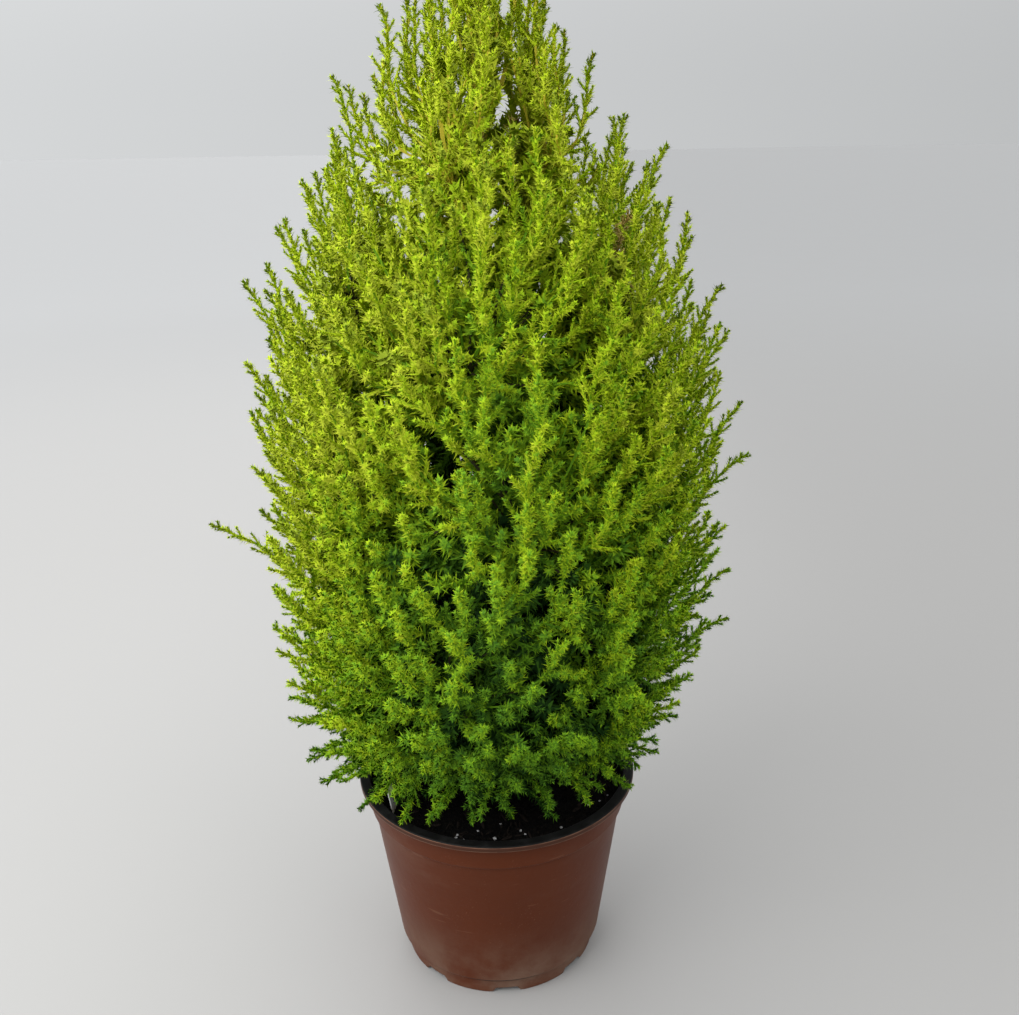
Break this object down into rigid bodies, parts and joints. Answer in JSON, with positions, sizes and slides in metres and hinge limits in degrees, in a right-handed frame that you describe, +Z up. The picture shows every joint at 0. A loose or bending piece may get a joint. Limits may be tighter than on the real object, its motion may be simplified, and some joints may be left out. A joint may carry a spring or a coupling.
{
  "type": "potted lemon cypress",
  "caption": "Lemon cypress growing in a tapered nursery pot: a narrow crown of upright lemon-green plumes round one trunk, with potting soil and a blank plant label.",
  "frame": {"origin": "middle of the flat underside of the pot, on the surface it stands on", "axes": "+Z up along the trunk; -Y is the side that faces the viewer of the picture, +X is to that viewer's right"},
  "size_m": [0.3602, 0.3386, 0.7018],
  "materials": {
    "pot": "satin brown thermoformed sheet, black inside and over the lip",
    "soil": "dark moist peat and bark mix with white grains",
    "plant_label": "plain white",
    "bark": "fibrous red-brown bark",
    "foliage": "soft lemon-green needles"
  },
  "bodies": {
    "root": {"crown_foliage_1": "foliage", "crown_foliage_2": "foliage", "crown_foliage_3": "foliage", "leader_foliage": "foliage", "lower_bough_1": "bark", "lower_bough_2": "bark", "lower_bough_3": "bark", "lower_bough_4": "bark", "lower_bough_5": "bark", "lower_foliage_1": "foliage", "lower_foliage_2": "foliage", "lower_foliage_3": "foliage", "lower_foliage_4": "foliage", "lower_foliage_5": "foliage", "middle_bough_1": "bark", "middle_bough_2": "bark", "middle_bough_3": "bark", "middle_bough_4": "bark", "middle_bough_5": "bark", "middle_foliage_1": "foliage", "middle_foliage_2": "foliage", "middle_foliage_3": "foliage", "middle_foliage_4": "foliage", "middle_foliage_5": "foliage", "plant_label": "plant_label", "pot": "pot", "skirt_bough_1": "bark", "skirt_bough_2": "bark", "skirt_bough_3": "bark", "skirt_bough_4": "bark", "skirt_bough_5": "bark", "skirt_bough_6": "bark", "skirt_foliage_1": "foliage", "skirt_foliage_2": "foliage", "skirt_foliage_3": "foliage", "skirt_foliage_4": "foliage", "skirt_foliage_5": "foliage", "skirt_foliage_6": "foliage", "soil": "soil", "trunk": "bark", "upper_bough_1": "bark", "upper_bough_2": "bark", "upper_bough_3": "bark", "upper_bough_4": "bark", "upper_foliage_1": "foliage", "upper_foliage_2": "foliage", "upper_foliage_3": "foliage", "upper_foliage_4": "foliage"}
  },
  "joints": []
}
